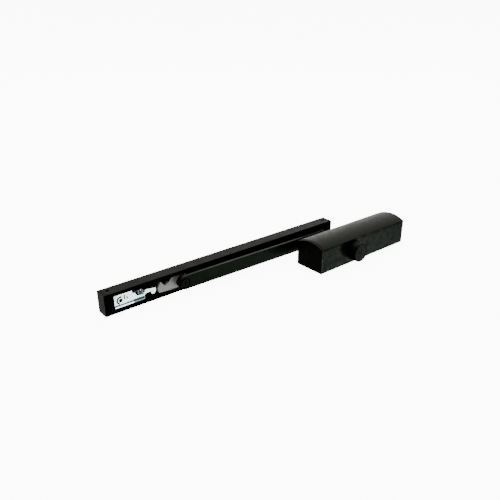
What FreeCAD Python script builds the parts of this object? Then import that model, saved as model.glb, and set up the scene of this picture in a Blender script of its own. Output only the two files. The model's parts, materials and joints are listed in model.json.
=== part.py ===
"""Slide-arm door closer lying on its mounting faces, in millimetres.

The origin is on the closer body's mounting face, below the pinion's axis.
+X runs along the body towards its spring end, +Z points away from the door,
and the spindle's axis is parallel to Y, with the arm and the track at +Y.
"""
import FreeCAD, Part
import math
import os
import re
import Sketcher
from FreeCAD import Placement, Rotation, Vector

SIZES = {
    # shared clearances
    "clearance": 0.3,
    "close_fit": 0.05,
    # closer body
    "axis_height": 20.75,
    "body_left": -76.5,
    "body_right": 129.5,
    "body_half": 26.5,
    "end_plate": 3,
    "casing_top": 39.6,
    "seam_width": 0.7,
    "seam_depth": 1.2,
    "lip_top": 40.7,
    "arch_rise": 7.2,
    "plate_step": 0.7,
    "cover_wall": 2,
    "cover_rim": 3.5,
    "clip_offset": 13,
    "clip_half": 0.8,
    "clip_reach": 4,
    "clip_root": 4.5,
    "casing_edge": 0.4,
    "bore_radius": 15.5,
    "spindle_bore": 12.5,
    "bolt_spacing": 184,
    "bolt_offset": 20.5,
    "bolt_radius": 2.75,
    "bolt_seat_radius": 4.6,
    "bolt_seat": 33,
    "plate_screw_offset": 9.4,
    "plate_screw_head": 3.4,
    "plate_screw_head_height": 1.5,
    "plate_screw_shank": 1.95,
    "plate_screw_length": 9,
    "plate_screw_socket": 1.5,
    "plate_screw_socket_depth": 1,
    "plate_screw_thread": 2,
    "plate_screw_hole": 2.2,
    "plate_screw_seat": 3.6,
    "plate_screw_seat_depth": 1.9,
    "adjuster_opening": 5,
    "plug_length": 11.5,
    "right_plug_length": 13.3,
    "plug_gap": 0.2,
    "plug_radius": 15.4,
    "plug_seal_radius": 1,
    "seal_room": 0.1,
    # valves
    "latching_valve_place": -44,
    "closing_valve_place": -30,
    "valve_offset": 20.5,
    "valve_hole": 3.2,
    "valve_floor": 23,
    "valve_port": 1,
    "valve_port_lift": 0.2,
    "valve_port_depth": 5,
    "valve_inset": 1,
    "valve_shank": 12.4,
    "valve_cone_tip": 0.6,
    "valve_cone_root": 2.4,
    "valve_cone": 2.6,
    "valve_slot_reach": 4,
    "valve_slot_half": 0.5,
    "valve_slot_depth": 1.6,
    "valve_groove": 1.4,
    "valve_groove_core": 2,
    "valve_groove_place": 7,
    "valve_seal_ring": 2.64,
    "valve_seal_radius": 0.53,
    # drive train
    "gear_module": 1.5,
    "gear_teeth": 12,
    "pressure_angle": 25,
    "tooth_addendum": 1.2,
    "tooth_root": 1.5,
    "gear_backlash": 0.12,
    "gear_half_width": 8,
    "shaft_radius": 7,
    "collar_radius": 9.2,
    "collar_width": 1.8,
    "collar_gap": 0.2,
    "square_half": 5.5,
    "square_fit": 0.05,
    "square_edge": 0.8,
    "square_room": 0.2,
    "spindle_thread": 4,
    "spindle_thread_depth": 18,
    "cap_end": 38.5,
    "arm_end": 47.6,
    "bearing_inner": 16,
    "bearing_outer": 22,
    "bearing_ring": 12.45,
    "needle_radius": 1.2,
    "needle_count": 18,
    "needle_gap": 0.1,
    "seal_ring": 10,
    "seal_lip": 0.08,
    "seal_width": 3.2,
    "seal_place": 0.5,
    "nut_gap": 0.1,
    "nut_key": 0.6,
    "nut_key_place": 11.25,
    "piston_radius": 15.45,
    "piston_left": -47,
    "piston_right": 28,
    "window_left": -39,
    "window_right": 13.5,
    "window_floor": 9.45,
    "check_bore": 3.2,
    "check_bore_depth": 11,
    "check_port": 1.4,
    "check_ball": 2.6,
    "check_ball_place": 8.3,
    "check_seat_hole": 1.2,
    "check_seat_width": 3,
    "check_seat_place": 4,
    "piston_recess": 9,
    "piston_recess_depth": 4,
    # closing spring and its adjuster
    "spring_coil": 11.5,
    "spring_wire": 2,
    "spring_turns": 8,
    "spring_gap": 0.1,
    "spigot_gap": 1.5,
    "spigot_length": 5,
    "seat_left": 100,
    "seat_right": 105.5,
    "adjuster_thread": 3.95,
    "thread_fit": 0.05,
    "adjuster_length": 22,
    "adjuster_head": 4.9,
    "adjuster_head_length": 12.2,
    "adjuster_collar": 7,
    "adjuster_collar_width": 2.8,
    "adjuster_key": 2.9,
    "adjuster_key_depth": 6,
    "adjuster_inset": 1.5,
    # spindle cap
    "cap_radius": 15.8,
    "cap_face": 41.5,
    "cap_gap": 0.5,
    "cap_wall": 1.8,
    "cap_boss": 9.4,
    "cap_edge": 1.2,
    # arm
    "pivot_place": -271.5,
    "pivot_height": 16.25,
    "arm_half": 10.9,
    "arm_thickness": 5,
    "hub_front": 28.5,
    "hub_back": 49.4,
    "hub_radius": 11.4,
    "arm_edge": 0.8,
    "arm_screw_hole": 4.1,
    "arm_screw_head": 6,
    "arm_screw_head_height": 3.6,
    "arm_screw_shank": 3.9,
    "arm_screw_length": 16,
    "arm_screw_socket": 2.9,
    "arm_screw_socket_depth": 2.6,
    "washer_radius": 6.6,
    "washer_width": 1,
    "washer_gap": 0.02,
    "pivot_front": 57.5,
    "tip_inset": 1.7,
    "pivot_hole": 4.1,
    "pivot_recess": 2.2,
    "pivot_recess_radius": 8,
    "pivot_screw_head": 6.2,
    "pivot_screw_head_height": 1.8,
    "pivot_screw_shank": 2.45,
    "pivot_screw_length": 11,
    "pivot_screw_socket": 2.3,
    "pivot_screw_socket_depth": 1.2,
    "crank_start": 14,
    "crank_stop": 9.5,
    # track
    "track_left": -392.5,
    "track_length": 440,
    "track_front": 68,
    "track_back": 89.5,
    "track_height": 32.5,
    "track_wall": 2,
    "slot_low": 5.55,
    "slot_high": 26.95,
    "track_cap": 5.4,
    "cap_plug": 14.3,
    "cap_fit": 0.2,
    "track_hole": 2.6,
    "track_hole_place": 10.9,
    "track_hole_line": 79.75,
    "track_edge": 0.5,
    "buffer_width": 4.6,
    "buffer_gap": 0.5,
    "buffer_inset": 2,
    "slider_gap": 0.4,
    "slider_back_gap": 0.6,
    "slider_shoulder": 24.4,
    "beak_width": 5.5,
    "stud_radius": 6,
    "spacer_radius": 9.5,
    "spacer_gap": 0.1,
    "stud_head": 6.9,
    "stud_head_width": 2.4,
    "stud_head_room": 0.3,
    "stud_head_seat": 82.6,
    "stud_boss": 4.05,
    "stud_gap": 0.1,
    "stud_thread": 2.5,
    "stud_thread_depth": 14,
    "stud_length": 20.5,
    "stud_clearance": 0.55,
    "stud_fit": 0.05,
    # hold-open unit, whose places along X are counted from the track's left end
    "sheet_metal": 1.5,
    "bracket_front": 70.05,
    "bracket_back": 84,
    "bracket_low": 3.4,
    "bracket_high": 29,
    "clamp_place": 24.2,
    "clamp_height": 17,
    "clamp_radius": 3.95,
    "clamp_hole_gap": 0.1,
    "clamp_length": 17.4,
    "clamp_socket": 2.35,
    "clamp_socket_depth": 4,
    "clamp_nut_half": 6,
    "clamp_nut_width": 6,
    "rivet_place": 34.3,
    "rivet_height": 18.2,
    "rivet_radius": 1,
    "rivet_length": 2.6,
    "rivet_head": 1.5,
    "rivet_head_height": 0.4,
    "rivet_gap": 0.02,
    "catch_place": 54.5,
    "catch_height": 20.3,
    "catch_hub": 3.2,
    "catch_pin": 1.5,
    "catch_pin_length": 15.6,
    "catch_pin_head": 2.2,
    "catch_pin_head_height": 0.6,
    "catch_spring_coil": 3.4,
    "catch_spring_wire": 0.4,
    "catch_spring_turns": 2,
    "catch_spring_length": 1.7,
    "catch_spring_place": 1.8,
    "cheek_front": 71.9,
    "cheek_back": 79,
    "cheek": 2,
    "roller_place": 76.2,
    "roller_height": 12.8,
    "roller_radius": 3,
    "roller_bore": 1.25,
    "roller_pin": 1.17,
    "roller_pin_hole": 1.2,
    "roller_pin_length": 9.9,
    "roller_pin_head": 1.8,
    "roller_pin_head_height": 0.4,
}

doc = FreeCAD.newDocument("door_closer")
sheet = doc.addObject("Spreadsheet::Sheet", "Sizes")
for row, (alias, number) in enumerate(SIZES.items(), 1):
    sheet.set(f"A{row}", alias)
    sheet.set(f"B{row}", str(number))
    sheet.setAlias(f"B{row}", alias)
doc.recompute()

pieces = []
PLANE_ROLES = {"XY": "XY_Plane", "XZ": "XZ_Plane", "YZ": "YZ_Plane"}
TURNS = {
    "+X": Rotation(Vector(0, 1, 0), 90),
    "-X": Rotation(Vector(0, 1, 0), -90),
    "+Y": Rotation(Vector(1, 0, 0), -90),
    "-Y": Rotation(Vector(1, 0, 0), 90),
    "+Z": Rotation(),
}


def bound(text):
    """An expression in which every size's name points at its cell."""
    return re.sub(
        r"[a-z_]\w*",
        lambda word: "Sizes." + word[0] if word[0] in SIZES else word[0],
        str(text),
    )


def value(text):
    """The number that an expression of sizes stands for."""
    return float(sheet.evalExpression(bound(text)))


def keep(label, thing):
    """Names a sub-part and puts it on the list of pieces to write."""
    thing.Label = label
    pieces.append(thing)
    return thing


# Sketches and features


def sketch_on(body, plane, place):
    """A sketch on one of the body's own origin planes, moved to place along its axis."""
    sketch = body.newObject("Sketcher::SketchObject", "Sketch")
    role = PLANE_ROLES[plane]
    support = next(o for o in body.Origin.OriginFeatures if o.Role == role)
    sketch.AttachmentSupport = [(support, "")]
    sketch.MapMode = "FlatFace"
    sign = "-1" if plane == "XZ" else "1"
    sketch.setExpression("AttachmentOffset.Base.z", bound(f"{sign} * ({place})"))
    return sketch


def hold_point(sketch, edge, end, across, up):
    """Ties a point of an edge to its distances from the sketch's origin."""
    for kind, place in (("DistanceX", across), ("DistanceY", up)):
        number = sketch.addConstraint(
            Sketcher.Constraint(kind, -1, 1, edge, end, value(place))
        )
        sketch.setExpression(f"Constraints[{number}]", bound(place))


def hold_radius(sketch, edge, radius):
    number = sketch.addConstraint(Sketcher.Constraint("Radius", edge, value(radius)))
    sketch.setExpression(f"Constraints[{number}]", bound(radius))


def arc_between(start, stop, radius, bend):
    """The short arc from start to stop. A bend of 1 turns left and -1 turns right."""
    chord = stop - start
    reach = math.sqrt(max(radius**2 - chord.Length**2 / 4, 0))
    left = Vector(-chord.y, chord.x, 0).normalize()
    centre = start + chord / 2 + left * reach * bend
    first, last = (start, stop) if bend > 0 else (stop, start)
    angles = [math.atan2(p.y - centre.y, p.x - centre.x) for p in (first, last)]
    if angles[1] < angles[0]:
        angles[1] += 2 * math.pi
    return Part.ArcOfCircle(Part.Circle(centre, Vector(0, 0, 1), radius), *angles)


def draw_outline(sketch, corners):
    """A closed loop. A corner with a radius and a bend starts an arc, any other a line."""
    points = [Vector(value(c[0]), value(c[1]), 0) for c in corners]
    ends = []
    for corner, start, stop in zip(corners, points, points[1:] + points[:1]):
        if len(corner) == 2:
            edge = sketch.addGeometry(Part.LineSegment(start, stop))
            ends.append((edge, 1, 2))
        else:
            _, _, radius, bend = corner
            edge = sketch.addGeometry(arc_between(start, stop, value(radius), bend))
            ends.append((edge, 1, 2) if bend > 0 else (edge, 2, 1))
    for (edge, _, tail), (following, head, _) in zip(ends, ends[1:] + ends[:1]):
        sketch.addConstraint(
            Sketcher.Constraint("Coincident", edge, tail, following, head)
        )
    for corner, (edge, head, _) in zip(corners, ends):
        hold_point(sketch, edge, head, corner[0], corner[1])
        if len(corner) > 2:
            hold_radius(sketch, edge, corner[2])


def draw_circle(sketch, across, up, radius):
    centre = Vector(value(across), value(up), 0)
    edge = sketch.addGeometry(Part.Circle(centre, Vector(0, 0, 1), value(radius)))
    hold_point(sketch, edge, 3, across, up)
    hold_radius(sketch, edge, radius)


def draw(sketch, loops):
    """Draws loops: a circle is a tuple (across, up, radius), an outline is a list."""
    for loop in loops:
        if isinstance(loop, list):
            draw_outline(sketch, loop)
        else:
            draw_circle(sketch, *loop)


def box_loop(left, low, right, high):
    return [(left, low), (right, low), (right, high), (left, high)]


def pad(body, plane, low, high, *loops):
    """Adds the loops' area between two places along the plane's axis."""
    sketch = sketch_on(body, plane, high if plane == "XZ" else low)
    draw(sketch, loops)
    feature = body.newObject("PartDesign::Pad", "Pad")
    feature.Profile = sketch
    feature.setExpression("Length", bound(f"({high}) - ({low})"))
    return feature


def pocket(body, plane, low, high, *loops):
    """Takes away the loops' area between two places along the plane's axis."""
    sketch = sketch_on(body, plane, low if plane == "XZ" else high)
    draw(sketch, loops)
    feature = body.newObject("PartDesign::Pocket", "Pocket")
    feature.Profile = sketch
    feature.setExpression("Length", bound(f"({high}) - ({low})"))
    return feature


def dress(body, kind, size, chosen):
    """A chamfer or fillet on the edges of the body so far that chosen accepts."""
    doc.recompute()
    base = body.Tip
    names = [f"Edge{n}" for n, e in enumerate(base.Shape.Edges, 1) if chosen(e)]
    feature = body.newObject("PartDesign::" + kind, kind)
    feature.Base = (base, names)
    feature.setExpression("Radius" if kind == "Fillet" else "Size", bound(size))
    return feature


def new_body(label):
    return keep(label, doc.addObject("PartDesign::Body", label))


# Primitives


def place_at(thing, across, along, up, towards="+Z"):
    """Puts a primitive's own Z axis along a direction, from a point tied to the sheet."""
    thing.Placement = Placement(Vector(), TURNS[towards])
    for axis, place in zip("xyz", (across, along, up)):
        thing.setExpression(f"Placement.Base.{axis}", bound(place))
    return thing


def cylinder(radius, length):
    thing = doc.addObject("Part::Cylinder", "Cylinder")
    thing.setExpression("Radius", bound(radius))
    thing.setExpression("Height", bound(length))
    return thing


def box(length, width, height):
    thing = doc.addObject("Part::Box", "Box")
    for name, size in zip(("Length", "Width", "Height"), (length, width, height)):
        thing.setExpression(name, bound(size))
    return thing


def prism(sides, radius, length):
    thing = doc.addObject("Part::Prism", "Prism")
    thing.Polygon = sides
    thing.setExpression("Circumradius", bound(radius))
    thing.setExpression("Height", bound(length))
    return thing


def torus(big, small):
    thing = doc.addObject("Part::Torus", "Torus")
    thing.setExpression("Radius1", bound(big))
    thing.setExpression("Radius2", bound(small))
    return thing


def fuse(*things):
    thing = doc.addObject("Part::MultiFuse", "Fuse")
    thing.Shapes = list(things)
    return thing


def cut(base, *tools):
    thing = doc.addObject("Part::Cut", "Cut")
    thing.Base = base
    thing.Tool = tools[0] if len(tools) == 1 else fuse(*tools)
    return thing


def group(label, things):
    thing = keep(label, doc.addObject("Part::Compound", label))
    thing.Links = list(things)
    return thing


def shifted(thing, height):
    """Moves a primitive up its own axis, to stack it on another."""
    thing.setExpression("Placement.Base.z", bound(height))
    return thing


def ring(outer, inner, length):
    return cut(cylinder(outer, length), cylinder(inner, length))


def screw(name):
    """A socket screw with the sizes of its name: head at its origin, shank along +Z."""
    head = f"{name}_head_height"
    solid = fuse(
        cylinder(f"{name}_head", head),
        shifted(cylinder(f"{name}_shank", f"{name}_length"), head),
    )
    return cut(solid, prism(6, f"{name}_socket", f"{name}_socket_depth"))


# Closer body: casing, cover, ends

BODY_LEFT_FACE = "body_left + end_plate"
BODY_RIGHT_FACE = "body_right - end_plate"
BODY_MIDDLE = "(body_left + body_right) / 2"
BOLTS = [
    (f"{BODY_MIDDLE} {side} bolt_spacing / 2", f"{hand} * bolt_offset")
    for side in "+-"
    for hand in (1, -1)
]
VALVES = {
    "latching_valve": "latching_valve_place",
    "closing_valve": "closing_valve_place",
}
ARCH_RADIUS = "(body_half * body_half + arch_rise * arch_rise) / (2 * arch_rise)"
ARCH_CENTRE = f"(lip_top + arch_rise - {ARCH_RADIUS})"
PLATE_SCREWS = ["axis_height + plate_screw_offset", "axis_height - plate_screw_offset"]


def along_x(length):
    """A test for straight edges of at least this length that run along X."""
    return lambda edge: (
        edge.BoundBox.XLength >= length
        and edge.BoundBox.YLength < 0.01
        and edge.BoundBox.ZLength < 0.01
    )


def body_casting():
    body = new_body("body_casting")
    seam = "casing_top - seam_width"
    shoulder = "body_half - seam_depth"
    pad(body, "YZ", BODY_LEFT_FACE, BODY_RIGHT_FACE, [
        ("-body_half", 0),
        ("body_half", 0),
        ("body_half", seam),
        (shoulder, seam),
        (shoulder, "casing_top"),
        (f"-({shoulder})", "casing_top"),
        (f"-({shoulder})", seam),
        ("-body_half", seam),
    ])
    clip_low = "casing_top - clip_reach - clearance"
    grooves = [
        box_loop(
            f"{hand} * clip_offset - clip_half - clearance",
            clip_low,
            f"{hand} * clip_offset + clip_half + clearance",
            "casing_top + 1",
        )
        for hand in (1, -1)
    ]
    pocket(body, "YZ", BODY_LEFT_FACE, BODY_RIGHT_FACE, *grooves)
    main_bore = (0, "axis_height", "bore_radius")
    pocket(body, "YZ", BODY_LEFT_FACE, BODY_RIGHT_FACE, main_bore)
    cross_bore = (0, "axis_height", "spindle_bore")
    pocket(body, "XZ", "-body_half", "body_half", cross_bore)
    pocket(body, "XY", 0, "casing_top", *[(x, y, "bolt_radius") for x, y in BOLTS])
    seats = [(x, y, "bolt_seat_radius") for x, y in BOLTS]
    pocket(body, "XY", "bolt_seat", "casing_top", *seats)
    holes = [(x, "valve_offset", "valve_hole") for x in VALVES.values()]
    pocket(body, "XY", "valve_floor", "casing_top", *holes)
    port_line = "valve_floor + valve_port + valve_port_lift"
    ports = [(x, port_line, "valve_port") for x in VALVES.values()]
    pocket(body, "XZ", "bore_radius - valve_port_depth", "valve_offset", *ports)
    underside = lambda edge: along_x(100)(edge) and edge.BoundBox.ZMax < 0.01
    dress(body, "Chamfer", "casing_edge", underside)


def arched_cover():
    body = new_body("arched_cover")
    inner_radius = f"({ARCH_RADIUS} - cover_wall)"
    inner_edge = "body_half - cover_rim"
    inner_line = (
        f"{ARCH_CENTRE} + sqrt({inner_radius} * {inner_radius}"
        f" - ({inner_edge}) * ({inner_edge}))"
    )
    pad(body, "YZ", BODY_LEFT_FACE, BODY_RIGHT_FACE, [
        ("body_half", "casing_top"),
        ("body_half", "lip_top", ARCH_RADIUS, 1),
        ("-body_half", "lip_top"),
        ("-body_half", "casing_top"),
        (f"-({inner_edge})", "casing_top"),
        (f"-({inner_edge})", inner_line, inner_radius, -1),
        (inner_edge, inner_line),
        (inner_edge, "casing_top"),
    ])
    legs = [
        box_loop(
            f"{hand} * clip_offset - clip_half",
            "casing_top - clip_reach",
            f"{hand} * clip_offset + clip_half",
            "casing_top + clip_root",
        )
        for hand in (1, -1)
    ]
    pad(body, "YZ", BODY_LEFT_FACE, BODY_RIGHT_FACE, *legs)


def end_plate(label, low, high, seat_low, seat_high):
    body = new_body(label)
    pad(body, "YZ", low, high, [
        ("-body_half", 0),
        ("body_half", 0),
        ("body_half", "lip_top - plate_step", ARCH_RADIUS, 1),
        ("-body_half", "lip_top - plate_step"),
    ])
    pocket(body, "YZ", low, high, *[(0, z, "plate_screw_hole") for z in PLATE_SCREWS])
    seats = [(0, z, "plate_screw_seat") for z in PLATE_SCREWS]
    pocket(body, "YZ", seat_low, seat_high, *seats)
    return body


def end_plates():
    left_floor = "body_left + plate_screw_seat_depth"
    end_plate("left_end_plate", "body_left", BODY_LEFT_FACE, "body_left", left_floor)
    right_floor = "body_right - plate_screw_seat_depth"
    right = end_plate("right_end_plate", BODY_RIGHT_FACE, "body_right", right_floor, "body_right")
    opening = (0, "axis_height", "adjuster_opening")
    pocket(right, "YZ", BODY_RIGHT_FACE, "body_right", opening)


def end_plate_screws():
    screws = []
    for height in PLATE_SCREWS:
        for place, towards in (
            ("body_left + clearance", "+X"),
            ("body_right - clearance", "-X"),
        ):
            screws.append(place_at(screw("plate_screw"), place, 0, height, towards))
    group("end_plate_screws", screws)


def end_plug(label, low, high, bore, seal_place):
    body = new_body(label)
    pad(body, "YZ", low, high, (0, "axis_height", "plug_radius"))
    groove = "plug_seal_radius + plug_gap"
    rim = (0, "axis_height", "plug_radius + 1")
    core = (0, "axis_height", "plug_radius - 2 * plug_seal_radius - seal_room")
    edges = (f"{seal_place} - ({groove})", f"{seal_place} + {groove}")
    pocket(body, "YZ", *edges, rim, core)
    pocket(body, "YZ", low, high, *[(0, z, "plate_screw_thread") for z in PLATE_SCREWS])
    if bore:
        pocket(body, "YZ", low, high, (0, "axis_height", bore))
    return body


def end_plugs():
    left = f"({BODY_LEFT_FACE} + plug_gap)"
    right = f"({BODY_RIGHT_FACE} - plug_gap)"
    left_seal = f"({left} + plug_length / 2)"
    right_seal = f"({right} - plug_length / 2)"
    end_plug("left_end_plug", left, f"{left} + plug_length", None, left_seal)
    start = f"{right} - right_plug_length"
    end_plug("right_end_plug", start, right, "adjuster_opening", right_seal)
    seals = [
        place_at(
            torus("plug_radius - plug_seal_radius - close_fit", "plug_seal_radius"),
            place, 0, "axis_height", "+X",
        )
        for place in (left_seal, right_seal)
    ]
    group("end_plug_seals", seals)


# Valves


def valve(label, place):
    """A needle valve: slotted screw, seal groove and a cone that closes its port."""
    top = "casing_top - valve_inset"
    bottom = f"{top} - valve_shank"
    shank = cylinder("valve_hole - close_fit", "valve_shank")
    place_at(shank, place, "valve_offset", bottom)
    cone = doc.addObject("Part::Cone", "Cone")
    cone.setExpression("Radius1", bound("valve_cone_tip"))
    cone.setExpression("Radius2", bound("valve_cone_root"))
    cone.setExpression("Height", bound("valve_cone"))
    place_at(cone, place, "valve_offset", f"{bottom} - valve_cone")
    slot = box("2 * valve_slot_reach", "2 * valve_slot_half", "valve_slot_depth")
    place_at(
        slot,
        f"{place} - valve_slot_reach",
        "valve_offset - valve_slot_half",
        f"{top} - valve_slot_depth",
    )
    groove = ring("valve_hole + 1", "valve_groove_core", "valve_groove")
    place_at(groove, place, "valve_offset", f"{top} - valve_groove_place")
    return keep(label, cut(fuse(shank, cone), slot, groove))


def valves():
    for label, place in VALVES.items():
        valve(label, place)
    seal_line = "casing_top - valve_inset - valve_groove_place + valve_groove / 2"
    seals = [
        place_at(torus("valve_seal_ring", "valve_seal_radius"), place, "valve_offset", seal_line)
        for place in VALVES.values()
    ]
    group("valve_seals", seals)


# Drive train: spindle with its pinion, bearings, piston, spring


def involute_point(base, radius, turn):
    """The point of an involute at a radius, with the whole curve turned by an angle."""
    roll = math.sqrt(max((radius / base) ** 2 - 1, 0))
    angle = turn + roll - math.atan(roll)
    return Vector(radius * math.sin(angle), 0, radius * math.cos(angle))


def pinion_face():
    """The pinion's outline in the XZ plane, with one tooth pointing up."""
    pitch = value("gear_module * gear_teeth / 2")
    tip = pitch + value("tooth_addendum")
    root = pitch - value("tooth_root")
    slant = math.radians(value("pressure_angle"))
    base = pitch * math.cos(slant)
    thickness = math.pi * value("gear_module") / 2 - value("gear_backlash") / 2
    half = thickness / 2 / pitch + math.tan(slant) - slant
    steps = [base + (tip - base) * n / 5 for n in range(6)]
    edges = []
    count = int(value("gear_teeth"))
    step = 2 * math.pi / count
    for tooth in range(count):
        rising = [involute_point(base, r, tooth * step - half) for r in steps]
        falling = [Vector(-p.x, 0, p.z) for p in rising]
        centre = tooth * step
        mirror = Rotation(Vector(0, 1, 0), math.degrees(2 * centre))
        falling = [mirror.multVec(p) for p in falling]
        foot = Vector(root * math.sin(centre - half), 0, root * math.cos(centre - half))
        heel = Vector(root * math.sin(centre + half), 0, root * math.cos(centre + half))
        next_angle = centre + step - half
        next_foot = Vector(root * math.sin(next_angle), 0, root * math.cos(next_angle))
        gap_angle = centre + step / 2
        floor = Vector(root * math.sin(gap_angle), 0, root * math.cos(gap_angle))
        crest = Vector(tip * math.sin(centre), 0, tip * math.cos(centre))
        flank, back = Part.BSplineCurve(), Part.BSplineCurve()
        flank.interpolate(rising)
        back.interpolate(falling[::-1])
        edges += [
            Part.LineSegment(foot, rising[0]).toShape(),
            flank.toShape(),
            Part.Arc(rising[-1], crest, falling[-1]).toShape(),
            back.toShape(),
            Part.LineSegment(falling[0], heel).toShape(),
            Part.Arc(heel, floor, next_foot).toShape(),
        ]
    return Part.Face(Part.Wire(edges))


def arm_turn():
    """The arm's slope in the rest pose, from the pinion down to the slider's pivot."""
    drop = value("axis_height - pivot_height")
    return Rotation(Vector(0, 1, 0), -math.degrees(math.atan(drop / -value("pivot_place"))))


def square_bar(low, high, half):
    bar = Part.makeBox(2 * half, high - low, 2 * half, Vector(-half, low, -half))
    corners = [edge for edge in bar.Edges if edge.BoundBox.YLength > 1]
    bar = bar.makeChamfer(value("square_edge"), corners)
    bar.Placement = Placement(Vector(), arm_turn())
    return bar


def spindle():
    half = value("gear_half_width")
    face = pinion_face()
    face.translate(Vector(0, -half, 0))
    solid = face.extrude(Vector(0, 2 * half, 0))
    inner, outer = value("bearing_inner"), value("body_half")
    shaft = Part.makeCylinder(
        value("shaft_radius"), 2 * outer, Vector(0, -outer, 0), Vector(0, 1, 0)
    )
    width, gap = value("collar_width"), value("collar_gap")
    collars = [
        Part.makeCylinder(value("collar_radius"), width, Vector(0, y, 0), Vector(0, 1, 0))
        for y in (inner - gap - width, -inner + gap)
    ]
    square = value("square_half")
    ends = [
        square_bar(-value("cap_end"), -outer, square),
        square_bar(outer, value("arm_end"), square),
    ]
    solid = solid.fuse([shaft] + collars + ends).removeSplitter()
    depth = value("spindle_thread_depth")
    tapped = Part.makeCylinder(
        value("spindle_thread"), depth, Vector(0, value("arm_end") - depth, 0), Vector(0, 1, 0)
    )
    piece = keep("spindle", doc.addObject("Part::Feature", "spindle"))
    piece.Shape = solid.cut(tapped)
    piece.Placement = Placement(Vector(0, 0, value("axis_height")), Rotation())


def on_both_sides(make, place):
    """One thing on each side of the casing, starting at the same distance from its middle."""
    return [
        place_at(make(), 0, f"{hand} * ({place})", "axis_height", towards)
        for hand, towards in ((1, "+Y"), (-1, "-Y"))
    ]


def bearings():
    width = "bearing_outer - bearing_inner"
    race = "shaft_radius + 2 * needle_radius + needle_gap + close_fit"
    shells = on_both_sides(lambda: ring("bearing_ring", race, width), "bearing_inner")
    group("bearing_shells", shells)
    needles = []
    for turn in range(SIZES["needle_count"]):
        angle = f"{360 * turn / SIZES['needle_count']} deg"
        reach = "(shaft_radius + needle_radius + needle_gap)"
        for hand, towards in ((1, "+Y"), (-1, "-Y")):
            needle = cylinder("needle_radius", f"{width} - 2 * clearance")
            needles.append(place_at(
                needle,
                f"{reach} * cos({angle})",
                f"{hand} * (bearing_inner + clearance)",
                f"axis_height + {reach} * sin({angle})",
                towards,
            ))
    group("bearing_needles", needles)
    nut_width = "body_half - bearing_outer - clearance"

    def nut():
        keys = [
            place_at(cylinder("nut_key", nut_width), f"{side} * nut_key_place", 0, 0)
            for side in (1, -1)
        ]
        hole = cylinder("seal_ring + close_fit", nut_width)
        return cut(cylinder("bearing_ring", nut_width), hole, *keys)

    group("bearing_retainers", on_both_sides(nut, "bearing_outer + nut_gap"))

    def lip_seal():
        return ring("seal_ring", "shaft_radius + seal_lip", "seal_width")

    group("spindle_seals", on_both_sides(lip_seal, "bearing_outer + seal_place"))


RACK_TEETH = range(1, -8, -1)


def rack_window():
    """The piston's window, whose upper edge is the rack."""
    pitch_line = value("axis_height + gear_module * gear_teeth / 2")
    tips = pitch_line - value("tooth_addendum")
    roots = pitch_line + value("tooth_root")
    slant = math.tan(math.radians(value("pressure_angle")))
    step = math.pi * value("gear_module")
    gap = step / 2 + value("gear_backlash")
    wide = gap / 2 + slant * (pitch_line - tips)
    narrow = gap / 2 - slant * (roots - pitch_line)
    corners = [("window_left", "window_floor"), ("window_right", "window_floor")]
    corners.append(("window_right", tips))
    for tooth in RACK_TEETH:
        middle = tooth * step
        corners += [
            (middle + wide, tips),
            (middle + narrow, roots),
            (middle - narrow, roots),
            (middle - wide, tips),
        ]
    corners.append(("window_left", tips))
    return corners


def piston():
    body = new_body("piston")
    rim = (0, "axis_height", "piston_radius")
    pad(body, "YZ", "piston_left", "piston_right", rim)
    pocket(body, "XZ", "-piston_radius", "piston_radius", rack_window())
    bore_floor = "piston_right - check_bore_depth"
    pocket(body, "YZ", bore_floor, "piston_right", (0, "axis_height", "check_bore"))
    port = (0, "axis_height", "check_port")
    pocket(body, "YZ", "window_right - 1", f"{bore_floor} + 0.5", port)
    recess = (0, "axis_height", "piston_recess")
    pocket(body, "YZ", "piston_left", "piston_left + piston_recess_depth", recess)
    ball = keep("check_valve_ball", doc.addObject("Part::Sphere", "Ball"))
    ball.setExpression("Radius", bound("check_ball"))
    place_at(ball, "piston_right - check_ball_place", 0, "axis_height")
    seat = ring("check_bore - close_fit", "check_seat_hole", "check_seat_width")
    keep("check_valve_retainer", seat)
    place_at(seat, "piston_right - check_seat_place", 0, "axis_height", "+X")


def coil(radius, wire, turns, length):
    """A coil spring along +Z, with its wire's centre from 0 to length."""
    helix = Part.makeLongHelix(length / turns, length, radius)
    section = Part.Circle(Vector(radius, 0, 0), Vector(0, 1, 0), wire)
    return Part.Wire(helix).makePipeShell([Part.Wire(section.toShape())], True, True)


def closing_spring():
    wire = value("spring_wire")
    left = value("piston_right + spring_wire + spring_gap")
    right = value("seat_left - spring_wire - spring_gap")
    piece = keep("closing_spring", doc.addObject("Part::Feature", "closing_spring"))
    piece.Shape = coil(value("spring_coil"), wire, value("spring_turns"), right - left)
    piece.Placement = Placement(Vector(left, 0, value("axis_height")), TURNS["+X"])


def adjuster():
    width = "seat_right - seat_left"
    disc = cylinder("bore_radius - clearance", width)
    place_at(disc, "seat_left", 0, "axis_height", "+X")
    spigot = cylinder("spring_coil - spring_wire - spigot_gap", "spigot_length")
    place_at(spigot, "seat_left - spigot_length", 0, "axis_height", "+X")
    hole = cylinder("adjuster_thread + thread_fit", f"{width} + spigot_length + 1")
    place_at(hole, "seat_left - spigot_length - 0.5", 0, "axis_height", "+X")
    keep("spring_seat", cut(fuse(disc, spigot), hole))
    shoulder = "adjuster_head_length + adjuster_collar_width"
    solid = fuse(
        cylinder("adjuster_head", "adjuster_head_length"),
        shifted(cylinder("adjuster_collar", "adjuster_collar_width"), "adjuster_head_length"),
        shifted(cylinder("adjuster_thread", "adjuster_length"), shoulder),
    )
    key = prism(6, "adjuster_key", "adjuster_key_depth")
    piece = keep("adjuster_screw", cut(solid, key))
    place_at(piece, "body_right - end_plate - adjuster_inset", 0, "axis_height", "-X")


# Spindle cap, arm, pivot


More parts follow.
